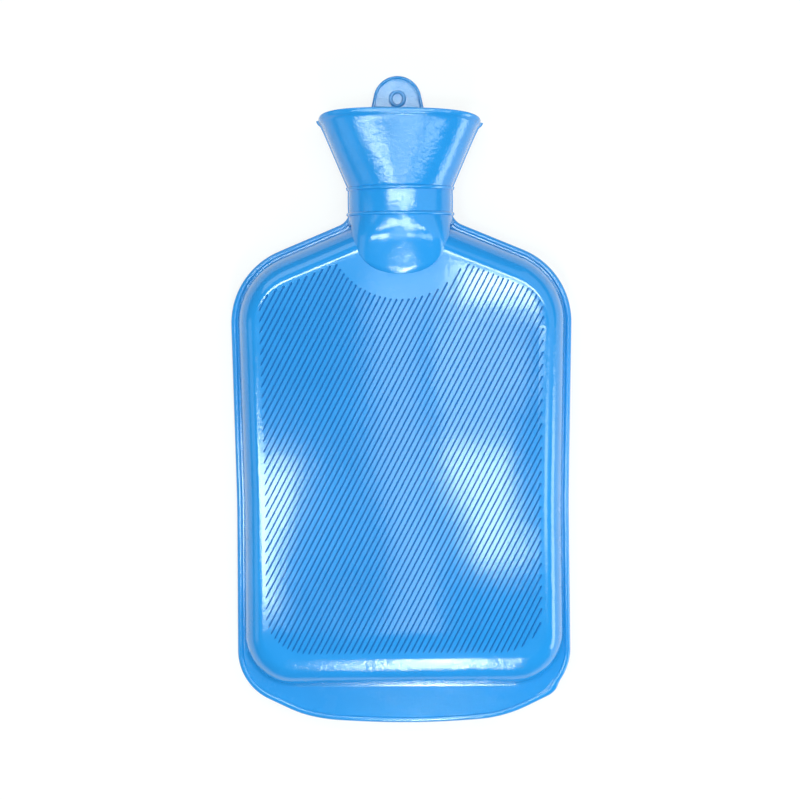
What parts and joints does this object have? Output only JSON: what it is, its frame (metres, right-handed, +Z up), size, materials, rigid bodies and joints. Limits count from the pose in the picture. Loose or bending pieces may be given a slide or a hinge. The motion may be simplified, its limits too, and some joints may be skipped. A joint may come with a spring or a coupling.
{
  "type": "hot water bottle",
  "caption": "Moulded rubber hot water bottle lying on its back, with slanted ribs, seam flange, flared filling funnel, hanging tab and screw stopper.",
  "frame": {"origin": "on the table under the middle of the bottle's outline box", "axes": "+X across the bag to the right as the picture shows it, +Y from the bag towards the filling mouth, +Z up from the table through the bag"},
  "size_m": [0.2026, 0.3882, 0.0579],
  "materials": {
    "bag_rubber": "glossy moulded rubber, sky blue",
    "socket_brass": "turned, plain",
    "washer_rubber": "matt black rubber",
    "stopper_plastic": "moulded plastic, darker blue"
  },
  "bodies": {
    "bottle": {"bottle": "bag_rubber", "neck_insert": "socket_brass"},
    "washer": {"sealing_washer": "washer_rubber"},
    "stopper": {"stopper": "stopper_plastic"}
  },
  "joints": [
    {"name": "stopper_lift", "type": "slide", "parent": "bottle", "child": "washer", "axis": [0, 0.9979, 0.0649], "range_m": [0, 0.02]},
    {"name": "stopper_turn", "type": "hinge", "parent": "washer", "child": "stopper", "pos_m": [0, 0.13469, 0.02713], "axis": [0, 0.9979, 0.0649], "range_deg": [0, 1440]}
  ],
  "couplings": [
    {"joint": "stopper_lift", "follows": "stopper_turn", "m_per_rad": 0.00079577}
  ]
}
